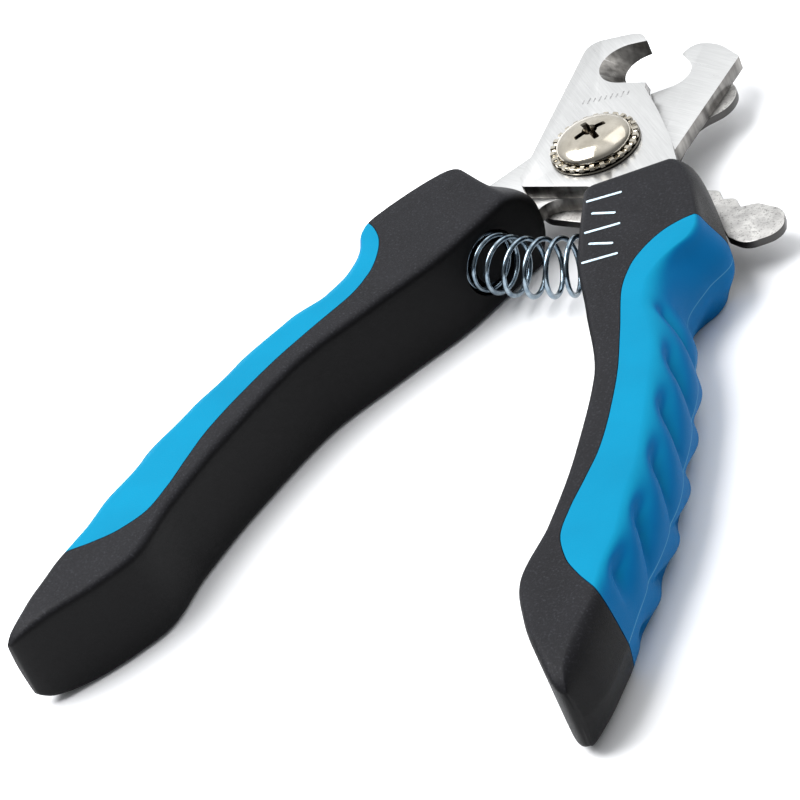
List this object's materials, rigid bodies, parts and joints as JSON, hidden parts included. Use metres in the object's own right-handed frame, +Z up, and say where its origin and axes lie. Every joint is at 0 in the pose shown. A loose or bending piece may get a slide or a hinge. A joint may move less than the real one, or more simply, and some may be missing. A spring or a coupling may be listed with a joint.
{
  "type": "plier-type pet nail clipper",
  "caption": "Plier-type pet nail clipper: hooked cutting blades on a pivot screw, black handles with soft grips, a bent return spring between them and a swinging nail guard plate.",
  "frame": {"origin": "middle of the footprint of the open clipper, on the plane that it lies on", "axes": "+Y towards the blade tips, +Z up through the pivot screw's head, +X towards the guard's thumb tab"},
  "size_m": [0.1082, 0.1627, 0.0174],
  "materials": {
    "blade_steel": "finely brushed stainless steel",
    "handle_plastic": "black moulded plastic with a fine grain",
    "grip_rubber": "matte bright blue soft-touch rubber",
    "screw_metal": "polished warm nickel plate",
    "guard_steel": "tumbled steel, slightly speckled",
    "spring_wire": "bright spring wire"
  },
  "bodies": {
    "upper_lever": {"upper_blade": "blade_steel", "right_handle_core": "handle_plastic", "right_grip": "grip_rubber", "pivot_screw": "screw_metal", "toothed_washer": "screw_metal", "flat_washer": "screw_metal", "friction_washer": "screw_metal", "pivot_nut": "screw_metal", "return_spring": "spring_wire"},
    "lower_lever": {"lower_blade": "blade_steel", "left_handle_core": "handle_plastic", "left_grip": "grip_rubber"},
    "guard": {"nail_guard": "guard_steel"}
  },
  "joints": [
    {"name": "handle_squeeze", "type": "hinge", "parent": "upper_lever", "child": "lower_lever", "pos_m": [0, 0.048, 0.0095], "axis": [0, 0, 1], "range_deg": [0, 34], "stiffness_Nm_per_rad": 0.3, "springref_deg": -17.19, "deforming": ["return_spring"]},
    {"name": "guard_swing", "type": "hinge", "parent": "upper_lever", "child": "guard", "pos_m": [0, 0.048, 0.0095], "axis": [0, 0, 1], "range_deg": [0, 28]}
  ]
}
